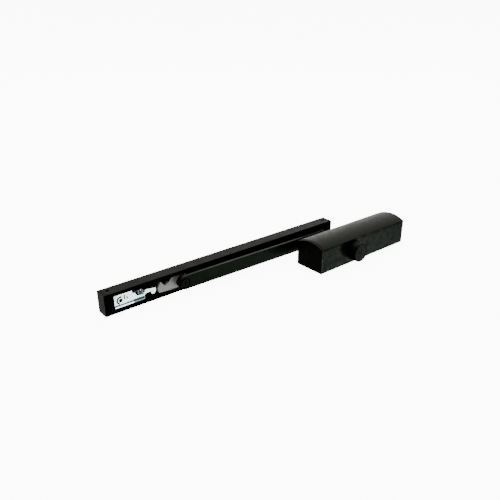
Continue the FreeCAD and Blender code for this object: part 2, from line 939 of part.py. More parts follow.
def spindle_cap():
    body = new_body("spindle_cap")
    start = "body_half + cap_gap"
    pad(body, "XZ", "-cap_face", f"-({start})", (0, 0, "cap_radius"))
    hollow = (0, 0, "cap_radius - cap_wall")
    core = (0, 0, "cap_boss")
    pocket(body, "XZ", "-cap_face + cap_wall", f"-({start})", hollow, core)
    reach = "square_half + square_fit"
    socket = box_loop(f"-({reach})", f"-({reach})", reach, reach)
    pocket(body, "XZ", "-cap_end - clearance", f"-({start})", socket)
    dress(
        body, "Fillet", "cap_edge",
        lambda e: e.BoundBox.YLength < 0.01
        and e.BoundBox.XLength > 2 * value("cap_radius") - 0.6
        and e.BoundBox.YMin < -value("cap_face") + 0.01,
    )
    body.Placement = Placement(Vector(0, 0, value("axis_height")), arm_turn())


def arm():
    """A flat bar, cranked in plan, with a hub that sits on the spindle's square."""
    body = new_body("arm")
    reach = "sqrt(pivot_place * pivot_place + (axis_height - pivot_height)^2)"
    round_centre = f"-({reach}) + tip_inset"
    tip = f"{round_centre} - arm_half"
    hub_line = "hub_back - arm_thickness"
    pivot_back = "pivot_front + arm_thickness"
    bend = f"-({reach}) + crank_stop"
    pad(body, "XY", "-arm_half", "arm_half", [
        (tip, "pivot_front"),
        (bend, "pivot_front"),
        ("-crank_start", hub_line),
        (0, hub_line),
        (0, "hub_back"),
        ("-crank_start", "hub_back"),
        (bend, pivot_back),
        (tip, pivot_back),
    ])
    pivot = f"-({reach})"
    corners = [
        [
            (f"{tip} - 1", f"{hand} * (arm_half + 1)"),
            (round_centre, f"{hand} * (arm_half + 1)"),
            (round_centre, f"{hand} * arm_half", "arm_half", hand),
            (tip, 0),
            (f"{tip} - 1", 0),
        ]
        for hand in (-1, 1)
    ]
    for corner in corners:
        pocket(body, "XZ", "pivot_front", pivot_back, corner)
    pad(body, "XZ", "hub_front", "hub_back", (0, 0, "hub_radius"))
    hole = "square_half + square_fit"
    square = box_loop(f"-({hole})", f"-({hole})", hole, hole)
    pocket(body, "XZ", "hub_front", "arm_end + square_room", square)
    pocket(body, "XZ", "hub_front", "hub_back", (0, 0, "arm_screw_hole"))
    pocket(body, "XZ", "pivot_front", pivot_back, (pivot, 0, "pivot_hole"))
    recess = (pivot, 0, "pivot_recess_radius")
    pocket(body, "XZ", "pivot_front", "pivot_front + pivot_recess", recess)
    dress(body, "Fillet", "arm_edge", lambda edge: edge.BoundBox.XLength > 200)
    body.Placement = Placement(Vector(0, 0, value("axis_height")), arm_turn())


def arm_fasteners():
    washer = keep("arm_washer", ring("washer_radius", "arm_screw_hole", "washer_width"))
    place_at(washer, 0, "hub_back + washer_gap", "axis_height", "+Y")
    bolt = keep("arm_screw", screw("arm_screw"))
    top = "hub_back + washer_width + 2 * washer_gap + arm_screw_head_height"
    place_at(bolt, 0, top, "axis_height", "-Y")


def pivot_parts():
    """The stud that the slider turns on, its spacer and the screw that holds it in the arm."""
    start = "pivot_front + pivot_recess + stud_gap"
    shoulder = "arm_thickness - pivot_recess - close_fit"
    stud = fuse(
        cylinder("stud_boss", f"{shoulder} + 1"),
        shifted(cylinder("stud_radius", "stud_length"), shoulder),
        shifted(cylinder("stud_head", "stud_head_width"), f"{shoulder} + stud_length"),
    )
    piece = keep("pivot_stud", cut(stud, cylinder("stud_thread", "stud_thread_depth")))
    place_at(piece, "pivot_place", start, "pivot_height", "+Y")
    behind = "pivot_front + arm_thickness + spacer_gap"
    width = f"track_front - stud_clearance - ({behind})"
    spacer = keep("pivot_spacer", ring("spacer_radius", "stud_radius + stud_fit", width))
    place_at(spacer, "pivot_place", behind, "pivot_height", "+Y")
    bolt = keep("pivot_screw", screw("pivot_screw"))
    place_at(bolt, "pivot_place", "pivot_front + clearance", "pivot_height", "+Y")


# Track: profile, caps, slider, buffer

TRACK_RIGHT = "(track_left + track_length)"
TRACK_HOLES = [
    ("track_left + track_hole_place", "track_hole_line", "track_hole"),
    (f"{TRACK_RIGHT} - track_hole_place", "track_hole_line", "track_hole"),
]


def outer_long_edge(edge):
    """Whether an edge runs along X at a corner of the track's outer section."""
    box = edge.BoundBox
    at_side = box.YMin < value("track_front") + 0.01 or box.YMax > value("track_back") - 0.01
    at_level = box.ZMin < 0.01 or box.ZMax > value("track_height") - 0.01
    return along_x(2)(edge) and at_side and at_level


def track_profile():
    body = new_body("track_profile")
    inner_front = "track_front + track_wall"
    inner_back = "track_back - track_wall"
    inner_top = "track_height - track_wall"
    low, high = "track_left + track_cap", f"{TRACK_RIGHT} - track_cap"
    pad(body, "YZ", low, high, [
        ("track_front", 0),
        ("track_back", 0),
        ("track_back", "track_height"),
        ("track_front", "track_height"),
        ("track_front", "slot_high"),
        (inner_front, "slot_high"),
        (inner_front, inner_top),
        (inner_back, inner_top),
        (inner_back, "track_wall"),
        (inner_front, "track_wall"),
        (inner_front, "slot_low"),
        ("track_front", "slot_low"),
    ])
    pocket(body, "XY", 0, "track_height", *TRACK_HOLES)
    dress(body, "Chamfer", "track_edge", outer_long_edge)


def track_end_cap(label, plate, plug, hole):
    """An end plate with a plug that fills the channel and its slot."""
    body = new_body(label)
    pad(body, "YZ", *plate, box_loop("track_front", 0, "track_back", "track_height"))
    front = "track_front + track_wall + cap_fit"
    back = "track_back - track_wall - cap_fit"
    low = "track_wall + cap_fit"
    high = "track_height - track_wall - cap_fit"
    pad(body, "YZ", *plug, [
        ("track_front", "slot_low + cap_fit / 2"),
        (front, "slot_low + cap_fit / 2"),
        (front, low),
        (back, low),
        (back, high),
        (front, high),
        (front, "slot_high - cap_fit / 2"),
        ("track_front", "slot_high - cap_fit / 2"),
    ])
    pocket(body, "XY", 0, "track_height", hole)
    dress(body, "Chamfer", "track_edge", outer_long_edge)


def track_caps():
    seam, stop = "track_left + track_cap", "track_left + cap_plug"
    track_end_cap("left_track_cap", ("track_left", seam), (seam, stop), TRACK_HOLES[0])
    seam, stop = f"{TRACK_RIGHT} - track_cap", f"{TRACK_RIGHT} - cap_plug"
    track_end_cap("right_track_cap", (seam, TRACK_RIGHT), (stop, seam), TRACK_HOLES[1])
    buffer = keep("end_buffer", box(
        "buffer_width",
        "track_back - track_front - 2 * (track_wall + buffer_gap)",
        "track_height - 2 * (track_wall + buffer_inset)",
    ))
    place_at(
        buffer,
        f"{stop} - cap_fit - buffer_width",
        "track_front + track_wall + buffer_gap",
        "track_wall + buffer_inset",
    )


def slider_block():
    """A nylon block whose narrow beak snaps behind the catch's roller."""
    body = new_body("slider_block")
    low = "track_wall + slider_gap"
    high = "track_height - track_wall - slider_gap"
    front = "track_front + track_wall + slider_gap"
    back = "track_back - track_wall - slider_back_gap"
    crest = [
        ("pivot_place - 2.5", high),
        ("pivot_place - 10.5", high),
        ("pivot_place - 12", 27.6),
        ("pivot_place - 16.2", 24.6),
        ("pivot_place - 20", 20),
    ]
    pad(body, "XZ", front, back, [
        ("pivot_place - 24", 6.1),
        ("pivot_place - 20", 5.6),
        ("pivot_place - 17", low),
        ("pivot_place + 10", low),
        ("pivot_place + 10", "slider_shoulder"),
        ("pivot_place - 2.5", "slider_shoulder"),
        *crest,
        ("pivot_place - 24", 16.6),
    ])
    pad(body, "XZ", front, f"{front} + beak_width", [
        ("pivot_place - 36.6", 7.3),
        ("pivot_place - 20", 5.6),
        ("pivot_place - 17", low),
        ("pivot_place - 2.5", low),
        *crest,
        ("pivot_place - 25", 16.4, 3.5, -1),
        ("pivot_place - 28.4", 17.6),
        ("pivot_place - 33", 24, 1.6, 1),
        ("pivot_place - 34.6", 23.4),
        ("pivot_place - 38.4", 16, 9, 1),
    ])
    hole = ("pivot_place", "pivot_height", "stud_radius + stud_fit")
    pocket(body, "XZ", front, back, hole)
    head = ("pivot_place", "pivot_height", "stud_head + stud_head_room")
    pocket(body, "XZ", "stud_head_seat", back, head)


# Hold-open unit


def at_track(place):
    return f"track_left + {place}"


def hold_open_bracket():
    """A folded sheet: front plate with a bead, top web and rear plate."""
    body = new_body("hold_open_bracket")
    left, right = at_track(15), at_track(61)
    plate_back = "bracket_front + sheet_metal"
    pad(body, "XZ", "bracket_front", plate_back, [
        (left, "bracket_low"),
        (right, "bracket_low"),
        (right, 14.6),
        (at_track(49.8), 15.4),
        (at_track(45.8), 21.2),
        (at_track(42.4), 22),
        (at_track(41.7), "bracket_high"),
        (left, "bracket_high"),
    ])
    web = box_loop(left, "bracket_front", at_track(41.7), "bracket_back")
    pad(body, "XY", "bracket_high - sheet_metal", "bracket_high", web)
    rear = "bracket_back - sheet_metal"
    wall = box_loop(left, "bracket_low", right, "bracket_high")
    pad(body, "XZ", rear, "bracket_back", wall)
    bead_front = "track_front + 0.5"
    pad(body, "YZ", left, at_track(60), [
        ("bracket_front + 0.2", 7),
        ("bracket_front + 0.2", 11.4),
        ("bracket_front", 11.4),
        (bead_front, 9.4),
        (bead_front, 7.6),
        ("bracket_front", 7),
    ])
    clamp = (at_track("clamp_place"), "clamp_height", "clamp_radius + clamp_hole_gap")
    pocket(body, "XZ", "bracket_front", "bracket_back", clamp)
    mark = box_loop(at_track(29.6), 17.6, at_track(30.4), 23)
    pocket(body, "XZ", "bracket_front", plate_back, mark)
    rivet = (at_track("rivet_place"), "rivet_height", "rivet_radius + close_fit")
    pocket(body, "XZ", "bracket_front", plate_back, rivet)
    pin = (at_track("catch_place"), "catch_height", "catch_pin + close_fit")
    pocket(body, "XZ", rear, "bracket_back", pin)


def clamp_parts():
    nut = new_body("clamp_nut")
    middle = at_track("clamp_place")
    square = box_loop(
        f"{middle} - clamp_nut_half",
        "clamp_height - clamp_nut_half",
        f"{middle} + clamp_nut_half",
        "clamp_height + clamp_nut_half",
    )
    back = "bracket_front + sheet_metal + close_fit"
    hole = (middle, "clamp_height", "clamp_radius + thread_fit")
    pad(nut, "XZ", back, f"{back} + clamp_nut_width", square, hole)
    shank = cylinder("clamp_radius", "clamp_length")
    socket = prism(6, "clamp_socket", "clamp_socket_depth")
    piece = keep("clamp_screw", cut(shank, socket))
    place_at(piece, middle, "bracket_front - clearance", "clamp_height", "+Y")
    rivet = keep("bracket_rivet", fuse(
        cylinder("rivet_head", "rivet_head_height"),
        cylinder("rivet_radius", "rivet_length"),
    ))
    front = "bracket_front - rivet_head_height - rivet_gap"
    place_at(rivet, at_track("rivet_place"), front, "rivet_height", "+Y")


def catch_lever():
    """Two cheeks joined by a hub on the pivot pin and by a web."""
    body = new_body("catch_lever")
    outline = [
        (at_track(52), 14.6),
        (at_track(57), 11.8),
        (at_track(61), 11.4),
        (at_track(64.5), 13.8),
        (at_track(71.5), 13.8),
        (at_track(73.2), 9.4),
        (at_track(76.5), 8.8),
        (at_track(79.7), 11.5),
        (at_track(79.7), 17.6),
        (at_track(64), 19.7),
        (at_track(60.5), 15.8),
        (at_track(58), 16),
        (at_track(57.5), 20),
        (at_track(51.8), 20),
    ]
    pivot = (at_track("catch_place"), "catch_height")
    front, rear = "cheek_front", "cheek_back"
    pad(body, "XZ", front, f"{front} + cheek", outline)
    pad(body, "XZ", front, f"{rear} + cheek", (*pivot, "catch_hub"))
    pad(body, "XZ", rear, f"{rear} + cheek", outline)
    web = box_loop(at_track(65), 15, at_track(69), 18)
    pad(body, "XZ", f"{front} + 1", f"{rear} + 1", web)
    pocket(body, "XZ", front, f"{rear} + cheek", (*pivot, "catch_pin + close_fit"))
    hole = (at_track("roller_place"), "roller_height", "roller_pin_hole")
    pocket(body, "XZ", front, f"{rear} + cheek", hole)


def catch_parts():
    pivot = (at_track("catch_place"), "catch_height")
    pin = fuse(
        cylinder("catch_pin_head", "catch_pin_head_height"),
        cylinder("catch_pin", "catch_pin_length"),
    )
    piece = keep("catch_pivot_pin", pin)
    place_at(piece, pivot[0], "track_front + catch_pin_head_height", pivot[1], "+Y")
    head = "roller_pin_head_height"
    pin = fuse(
        cylinder("roller_pin_head", head),
        cylinder("roller_pin", "roller_pin_length"),
        shifted(cylinder("roller_pin_head", head), f"roller_pin_length - {head}"),
    )
    piece = keep("roller_pin", pin)
    roller = (at_track("roller_place"), "roller_height")
    place_at(piece, roller[0], f"cheek_front - {head}", roller[1], "+Y")
    between = "cheek_back - cheek_front - cheek - 2 * clearance"
    wheel = keep("catch_roller", ring("roller_radius", "roller_bore", between))
    place_at(wheel, roller[0], "cheek_front + cheek + clearance", roller[1], "+Y")
    spring = keep("catch_spring", doc.addObject("Part::Feature", "catch_spring"))
    spring.Shape = coil(
        value("catch_spring_coil"),
        value("catch_spring_wire"),
        value("catch_spring_turns"),
        value("catch_spring_length"),
    )
    along = "track_front + catch_spring_place"
    place = Vector(value(pivot[0]), value(along), value(pivot[1]))
    spring.Placement = Placement(place, TURNS["+Y"])


def build():
    body_casting()
    arched_cover()
    end_plates()
    end_plate_screws()
    end_plugs()
    valves()
    spindle()
    bearings()
    piston()
    closing_spring()
    adjuster()
    spindle_cap()
    arm()
    arm_fasteners()
    pivot_parts()
    track_profile()
    track_caps()
    slider_block()
    hold_open_bracket()
    clamp_parts()
    catch_lever()
    catch_parts()
    doc.recompute()


def check():
    """Stops on a failed object, a bad shape or a pocket that takes nothing away."""
    for thing in doc.Objects:
        bad = {"Invalid", "Error"} & set(thing.State)
        if bad:
            raise RuntimeError(f"{thing.Label} is {bad}")
        if thing.TypeId == "PartDesign::Pocket":
            taken = thing.BaseFeature.Shape.Volume - thing.Shape.Volume
            if taken < 0.01:
                raise RuntimeError(f"{thing.Name} takes nothing away")
    for piece in pieces:
        if piece.Shape.isNull() or not piece.Shape.isValid() or not piece.Shape.Solids:
            raise RuntimeError(f"{piece.Label} has no valid solid")


def write():
    os.makedirs("parts", exist_ok=True)
    for piece in pieces:
        piece.Shape.exportStep(f"parts/{piece.Label}.step")
        box = piece.Shape.BoundBox
        print(
            f"{piece.Label:22s} {len(piece.Shape.Solids):3d} {piece.Shape.Volume:10.1f}"
            f"  X {box.XMin:7.1f} {box.XMax:7.1f}  Y {box.YMin:6.1f} {box.YMax:6.1f}"
            f"  Z {box.ZMin:5.1f} {box.ZMax:5.1f}"
        )


build()
check()
write()
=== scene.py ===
"""The looks of a slide-arm door closer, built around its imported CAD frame, in metres."""
import json
import math

import bmesh
import bpy
from mathutils import Matrix, Vector


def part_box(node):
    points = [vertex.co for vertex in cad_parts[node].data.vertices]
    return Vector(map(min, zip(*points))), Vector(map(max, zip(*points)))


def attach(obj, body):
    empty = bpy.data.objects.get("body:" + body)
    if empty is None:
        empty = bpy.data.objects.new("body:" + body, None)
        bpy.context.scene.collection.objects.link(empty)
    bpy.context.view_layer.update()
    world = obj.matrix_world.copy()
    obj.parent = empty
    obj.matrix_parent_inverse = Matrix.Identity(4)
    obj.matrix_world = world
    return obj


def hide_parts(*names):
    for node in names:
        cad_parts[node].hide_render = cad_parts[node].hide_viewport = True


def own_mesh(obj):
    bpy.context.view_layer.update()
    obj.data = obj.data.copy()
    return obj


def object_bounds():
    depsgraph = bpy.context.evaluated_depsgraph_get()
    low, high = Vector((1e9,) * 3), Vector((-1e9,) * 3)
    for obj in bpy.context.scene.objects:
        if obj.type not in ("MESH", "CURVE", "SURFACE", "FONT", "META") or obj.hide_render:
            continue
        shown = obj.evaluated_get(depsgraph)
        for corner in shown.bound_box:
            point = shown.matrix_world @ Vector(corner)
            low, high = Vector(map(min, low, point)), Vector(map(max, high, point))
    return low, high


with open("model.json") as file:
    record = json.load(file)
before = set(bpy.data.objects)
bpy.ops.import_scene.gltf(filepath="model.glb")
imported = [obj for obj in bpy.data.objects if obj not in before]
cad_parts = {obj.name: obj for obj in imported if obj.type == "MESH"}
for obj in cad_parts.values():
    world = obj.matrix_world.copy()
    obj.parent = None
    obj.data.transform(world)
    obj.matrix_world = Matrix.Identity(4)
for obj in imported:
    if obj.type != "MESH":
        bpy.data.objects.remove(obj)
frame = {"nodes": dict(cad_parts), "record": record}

CAD_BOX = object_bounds()
MM = 0.001
RECORD = frame["record"]
BODY_OF = {
    node: body
    for body, members in RECORD["behaviour"]["bodies"].items()
    for node in members
}
SLOT_OF = {part["node"]: part["material_slot"] for part in RECORD["subparts"]}


# Node materials


class Look:
    """A material that is built up from one Principled shader."""

    def __init__(self, name, color, metallic, roughness, specular=0.5):
        self.material = bpy.data.materials.new(name)
        self.material.use_nodes = True
        self.tree = self.material.node_tree
        self.shader = self.tree.nodes["Principled BSDF"]
        self.set("Base Color", (*color, 1))
        self.set("Metallic", metallic)
        self.set("Roughness", roughness)
        self.set("Specular IOR Level", specular)
        self.color = color
        self.roughness = roughness

    def set(self, socket, value):
        self.shader.inputs[socket].default_value = value

    def node(self, kind, **settings):
        made = self.tree.nodes.new(kind)
        for key, value in settings.items():
            setattr(made, key, value)
        return made

    def link(self, source, target):
        self.tree.links.new(source, target)

    def place(self, stretch=(1, 1, 1)):
        """Object coordinates in metres, squeezed along an axis to draw the pattern out."""
        where = self.node("ShaderNodeTexCoord")
        scaled = self.node("ShaderNodeMapping")
        scaled.inputs["Scale"].default_value = stretch
        self.link(where.outputs["Object"], scaled.inputs["Vector"])
        return scaled.outputs["Vector"]

    def noise(self, size, stretch=(1, 1, 1), detail=3):
        """A noise between 0 and 1 whose blotches are about this size in millimetres."""
        made = self.node("ShaderNodeTexNoise")
        made.inputs["Scale"].default_value = 1 / (size * MM)
        made.inputs["Detail"].default_value = detail
        self.link(self.place(stretch), made.inputs["Vector"])
        return made.outputs["Fac"]

    def cells(self, size):
        """A cell pattern of about this size in millimetres."""
        made = self.node("ShaderNodeTexVoronoi")
        made.inputs["Scale"].default_value = 1 / (size * MM)
        self.link(self.place(), made.inputs["Vector"])
        return made.outputs["Distance"]

    def between(self, source, low, high, start, stop):
        """Maps a value from low..high to start..stop."""
        made = self.node("ShaderNodeMapRange")
        numbers = (low, high, start, stop)
        for socket, number in zip(("From Min", "From Max", "To Min", "To Max"), numbers):
            made.inputs[socket].default_value = number
        self.link(source, made.inputs["Value"])
        return made.outputs["Result"]

    def times(self, first, second):
        made = self.node("ShaderNodeMath", operation="MULTIPLY")
        self.link(first, made.inputs[0])
        self.link(second, made.inputs[1])
        return made.outputs[0]

    def edges(self, radius):
        """1 on an outer or inner edge within this many millimetres, 0 on flat stretches."""
        rounded = self.node("ShaderNodeBevel", samples=4)
        rounded.inputs["Radius"].default_value = radius * MM
        plain = self.node("ShaderNodeNewGeometry")
        match = self.node("ShaderNodeVectorMath", operation="DOT_PRODUCT")
        self.link(rounded.outputs["Normal"], match.inputs[0])
        self.link(plain.outputs["Normal"], match.inputs[1])
        return self.between(match.outputs["Value"], 0.995, 0.9, 0, 1)

    def tint(self, factor, color):
        """Mixes another colour into the base colour."""
        mix = self.node("ShaderNodeMix", data_type="RGBA")
        base = self.shader.inputs["Base Color"]
        if base.is_linked:
            self.link(base.links[0].from_socket, mix.inputs["A"])
        else:
            mix.inputs["A"].default_value = (*self.color, 1)
        mix.inputs["B"].default_value = (*color, 1)
        self.link(factor, mix.inputs["Factor"])
        self.link(mix.outputs["Result"], base)

    def mottle(self, noise, low, high, amount, color):
        """Tints the blotches of a noise: nothing below low, the whole amount above high."""
        self.tint(self.between(noise, low, high, 0, amount), color)

    def wear(self, radius, noise, low, high, amount, color):
        """Tints the edges where the blotches of a noise cross them."""
        spots = self.between(noise, low, high, 0, amount)
        self.tint(self.times(self.edges(radius), spots), color)

    def vary_roughness(self, factor, spread):
        """Swings the roughness about its middle value."""
        low, high = self.roughness - spread, self.roughness + spread
        swung = self.between(factor, 0.3, 0.7, max(low, 0.02), min(high, 1))
        self.link(swung, self.shader.inputs["Roughness"])

    def bump(self, height, depth):
        """Adds relief that is this many millimetres deep."""
        made = self.node("ShaderNodeBump")
        made.inputs["Distance"].default_value = depth * MM
        made.inputs["Strength"].default_value = 1
        self.link(height, made.inputs["Height"])
        if self.shader.inputs["Normal"].is_linked:
            before = self.shader.inputs["Normal"].links[0].from_socket
            self.link(before, made.inputs["Normal"])
        self.link(made.outputs["Normal"], self.shader.inputs["Normal"])


ALONG_X = (0.02, 1, 1)
ROUND_SHAFT = (1, 0.04, 1)
GREENISH = (0.60, 1.0, 0.58, 1)
OLIVE = (0.92, 1.0, 0.60, 1)
PLAIN = (1, 1, 1, 1)


def shade(color, factor):
    """A lighter or darker colour, with no channel above 1."""
    return [min(channel * factor, 1) for channel in color]


def anodised(name, color, roughness, gloss, sheen=GREENISH):
    """Black anodised aluminium: die lines along X, blasted grain, handled edges."""
    look = Look(name, color, 0, roughness, gloss)
    look.set("Specular Tint", sheen)
    look.bump(look.noise(0.35, ALONG_X, 4), 0.004)
    look.bump(look.noise(0.16, detail=2), 0.0028)
    look.vary_roughness(look.noise(9, detail=5), 0.07)
    look.mottle(look.noise(26, detail=4), 0.45, 0.8, 0.35, shade(color, 1.9))
    look.wear(0.35, look.noise(3), 0.45, 0.65, 0.5, shade(color, 2.5))
    return look.material


def painted(name, color, roughness, gloss):
    """Powder coat: orange peel with a few rubbed spots."""
    look = Look(name, color, 0, roughness, gloss)
    look.set("Specular Tint", GREENISH)
    look.bump(look.noise(0.9, detail=2), 0.012)
    look.bump(look.noise(0.15), 0.003)
    look.vary_roughness(look.noise(12, detail=5), 0.06)
    look.mottle(look.noise(18, detail=5), 0.5, 0.8, 0.4, shade(color, 1.8))
    look.wear(0.4, look.noise(2.5), 0.5, 0.68, 0.6, shade(color, 3))
    return look.material


def moulded(name, color, roughness, gloss, sheen=GREENISH, through=0.0):
    """Injection-moulded plastic: spark-eroded grain, slight flow marks, some let light through."""
    look = Look(name, color, 0, roughness, gloss)
    look.set("Specular Tint", sheen)
    look.bump(look.cells(0.22), 0.006)
    look.bump(look.noise(2.5, detail=2), 0.006)
    look.vary_roughness(look.noise(5, detail=4), 0.08)
    look.mottle(look.noise(7, detail=4), 0.45, 0.75, 0.3, shade(color, 0.8))
    if through:
        look.set("Subsurface Weight", through)
        look.set("Subsurface Radius", (1, 0.95, 0.85))
        look.set("Subsurface Scale", 2.5 * MM)
    return look.material


def metal(name, color, roughness, stretch=(1, 1, 1), dull=0.75):
    """Bare or plated metal: fine tool marks, a mottled film and brighter edges."""
    look = Look(name, color, 1, roughness)
    look.bump(look.noise(0.2, stretch, 4), 0.003)
    look.vary_roughness(look.noise(3, detail=5), 0.09)
    look.mottle(look.noise(4, detail=5), 0.4, 0.75, 0.7, shade(color, dull))
    look.tint(look.times(look.edges(0.25), look.noise(1.5)), shade(color, 1.25))
    return look.material


def rubber(name, color, roughness):
    """Black rubber: matt, slightly uneven, with paler bloom."""
    look = Look(name, color, 0, roughness, 0.05)
    look.bump(look.noise(0.3), 0.01)
    look.vary_roughness(look.noise(4, detail=4), 0.08)
    look.mottle(look.noise(3, detail=5), 0.5, 0.8, 0.5, shade(color, 2.2))
    return look.material


def fading_highlight(name, color, roughness, glossy_x, dull_x):
    """Powder coat with a painted highlight: glossy at one X in metres, fading to dull at another.
    """
    look = Look(name, color, 0, roughness)
    look.set("Specular Tint", GREENISH)
    look.bump(look.noise(0.9, detail=2), 0.012)
    look.vary_roughness(look.noise(12, detail=5), 0.06)
    parts = look.node("ShaderNodeSeparateXYZ")
    look.link(look.place(), parts.inputs["Vector"])
    gloss = look.between(parts.outputs["X"], glossy_x, dull_x, 0.16, 0.025)
    look.link(gloss, look.shader.inputs["Specular IOR Level"])
    return look.material


MATERIALS = {
    "black_casting": anodised("black_casting", (0.0020, 0.0034, 0.0024), 0.42, 0.042),
    "black_cover": anodised("black_cover", (0.0020, 0.0024, 0.0017), 0.38, 0.056, OLIVE),
    "black_track": anodised("black_track", (0.0010, 0.0009, 0.0005), 0.42, 0.028, OLIVE),
    "black_track_caps": moulded("black_track_caps", (0.0010, 0.0009, 0.0005), 0.48, 0.025, OLIVE),
    "black_cap": moulded("black_cap", (0.0024, 0.0032, 0.0026), 0.45, 0.034),
    "black_arm": painted("black_arm", (0.0012, 0.0022, 0.0015), 0.40, 0.055),
    "black_screws": metal("black_screws", (0.003, 0.003, 0.003), 0.38),
    "zinc_steel": metal("zinc_steel", (0.66, 0.82, 0.79), 0.27, dull=0.8),
    "bearing_steel": metal("bearing_steel", (0.58, 0.58, 0.59), 0.2, ROUND_SHAFT),
    "piston_steel": metal("piston_steel", (0.42, 0.42, 0.43), 0.32),
    "spring_steel": metal("spring_steel", (0.40, 0.41, 0.42), 0.3),
    "plug_alloy": metal("plug_alloy", (0.65, 0.66, 0.67), 0.35),
    "brass": metal("brass", (0.78, 0.60, 0.30), 0.28),
    "white_nylon": moulded("white_nylon", (0.58, 0.59, 0.55), 0.42, 0.4, PLAIN, 0.25),
    "seal_rubber": rubber("seal_rubber", (0.003, 0.003, 0.003), 0.6),
}

# Painted light and shade for single faces, and a dark mark colour

# Painted shade: dark zinc for zinc and nylon faces deep in the track
PAINTED_SHADE_ZINC = metal("painted_shade_zinc", (0.035, 0.05, 0.05), 0.4)
# Painted shade: dim teal zinc for the plate's lip and tail and the rivet's hollow
PAINTED_HALF_SHADE_ZINC = metal("painted_half_shade_zinc", (0.10, 0.20, 0.19), 0.3)
# Painted highlight: bright zinc for the plate's bead
PAINTED_HIGHLIGHT_ZINC = metal("painted_highlight_zinc", (0.74, 1.0, 0.97), 0.22, dull=0.9)
# Dark marks, also painted shade for the clamp socket and the C groove
DARK_MARK_AND_SHADE = moulded("dark_mark_and_painted_shade", (0.003, 0.004, 0.004), 0.6, 0.02)
# Painted shade: a darker, duller black for the track's front, its channel floor and the arm beside
# the body
PAINTED_SHADE_BLACK = anodised("painted_shade_black", (0.0008, 0.0009, 0.0006), 0.5, 0.012)
# Painted light: a lighter, glossier black for the track's left end
PAINTED_LIGHT_CAP_END = moulded("cap_end", (0.0030, 0.0028, 0.0012), 0.45, 0.11, OLIVE)
# Painted highlight on the arm's upper faces, fading towards the body
PAINTED_HIGHLIGHT_ARM_TOP = fading_highlight("painted_highlight_arm_top", (0.0012, 0.0016, 0.0012), 0.4, -270 * MM, -50 * MM)


# Pieces that stand for the frame's parts


# Angles in degrees: edges to round, edges to keep sharp in shading, faces that are one
SHARP_ANGLE = 28
SMOOTH_ANGLE = 30
FLAT_ANGLE = 0.5
BEVEL_STEPS = 2

# Vertices closer than this are one
SAME_POINT = 0.002 * MM


def dress(piece, material):
    """Gives a piece one material in place of what it has."""
    piece.data.materials.clear()
    piece.data.materials.append(material)


def stand_for(piece, node):
    """Lets a piece take a CAD part's place, motion and finish."""
    dress(piece, MATERIALS[SLOT_OF[node]])
    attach(piece, BODY_OF[node])
    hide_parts(node)


def object_from(mesh_data, name):
    """An object of the scene with the mesh that was built up."""
    mesh = bpy.data.meshes.new(name)
    mesh_data.to_mesh(mesh)
    mesh_data.free()
    piece = bpy.data.objects.new(name, mesh)
    bpy.context.scene.collection.objects.link(piece)
    return piece


def smooth(piece, angle=SMOOTH_ANGLE):
    """Smooth shading that stops at edges sharper than an angle in degrees."""
    for face in piece.data.polygons:
        face.use_smooth = True
    piece.data.set_sharp_from_angle(angle=math.radians(angle))


def sharp_edges(mesh_data):
    """The edges between two faces that meet at more than the sharp angle."""
    limit = math.radians(SHARP_ANGLE)
    return [
        edge
        for edge in mesh_data.edges
        if len(edge.link_faces) == 2 and edge.calc_face_angle(0) > limit
    ]


def finished(node):
    """The piece that stands for a softened part."""
    return bpy.data.objects[node + "_finished"]


def soften(node, width):
    """Replaces a part with its own shape, its edges rounded by this many millimetres."""
    mesh_data = bmesh.new()
    mesh_data.from_mesh(frame["nodes"][node].data)
    bmesh.ops.remove_doubles(mesh_data, verts=mesh_data.verts, dist=SAME_POINT)
    bmesh.ops.dissolve_limit(
        mesh_data,
        angle_limit=math.radians(FLAT_ANGLE),
        verts=mesh_data.verts,
        edges=mesh_data.edges,
    )
    bmesh.ops.bevel(
        mesh_data,
        geom=sharp_edges(mesh_data),
        offset=width * MM,
        segments=BEVEL_STEPS,
        profile=0.5,
        affect="EDGES",
        clamp_overlap=False,
    )
    piece = object_from(mesh_data, node + "_finished")
    smooth(piece)
    piece.modifiers.new("normals", "WEIGHTED_NORMAL").keep_sharp = True
    stand_for(piece, node)


# Width of the rounded edges in millimetres
SOFTENED = {
    "body_casting": 0.25,
    "arched_cover": 0.25,
    "left_end_plate": 0.35,
    "right_end_plate": 0.35,
    "spindle_cap": 0.2,
    "arm": 0.5,
    "pivot_spacer": 0.2,
    "track_profile": 0.2,
    "left_track_cap": 0.2,
    "right_track_cap": 0.2,
    "slider_block": 0.6,
    "hold_open_bracket": 0.06,
    "catch_lever": 0.2,
}

# Zinc parts that lie inside the track, out of the light, painted dark as painted shade
PAINTED_SHADE_PARTS = ("clamp_nut", "catch_pivot_pin")

for label, width in SOFTENED.items():
    soften(label, width)

for label, part in frame["nodes"].items():
    if label in PAINTED_SHADE_PARTS:
        dress(part, PAINTED_SHADE_ZINC)
    elif label not in SOFTENED:
        dress(part, MATERIALS[SLOT_OF[label]])


# Painted light and shade that change from face to face


TRACK_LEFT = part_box("left_track_cap")[0].x
TRACK_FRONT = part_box("track_profile")[0].y


def at_track(distance):
    """X at a distance in millimetres from the track's left end."""
    return TRACK_LEFT + distance * MM


# The least part of a face's normal that counts as facing a direction
FACING = 0.6

# Heights of the folded plate's bead and tail, and where its tail starts
BEAD_BOTTOM = 7.2 * MM
BEAD_TOP = 12.2 * MM
TAIL_TOP = 15 * MM
TAIL_START = at_track(43.4)

# How far back zinc and nylon lie in the track's shade, where their faces get painted shade, and how
# high its channel reaches, below which its floor gets painted shade
ZINC_SHADE = TRACK_FRONT + 6.5 * MM
NYLON_SHADE = TRACK_FRONT + 8.5 * MM
CHANNEL_TOP = 25 * MM

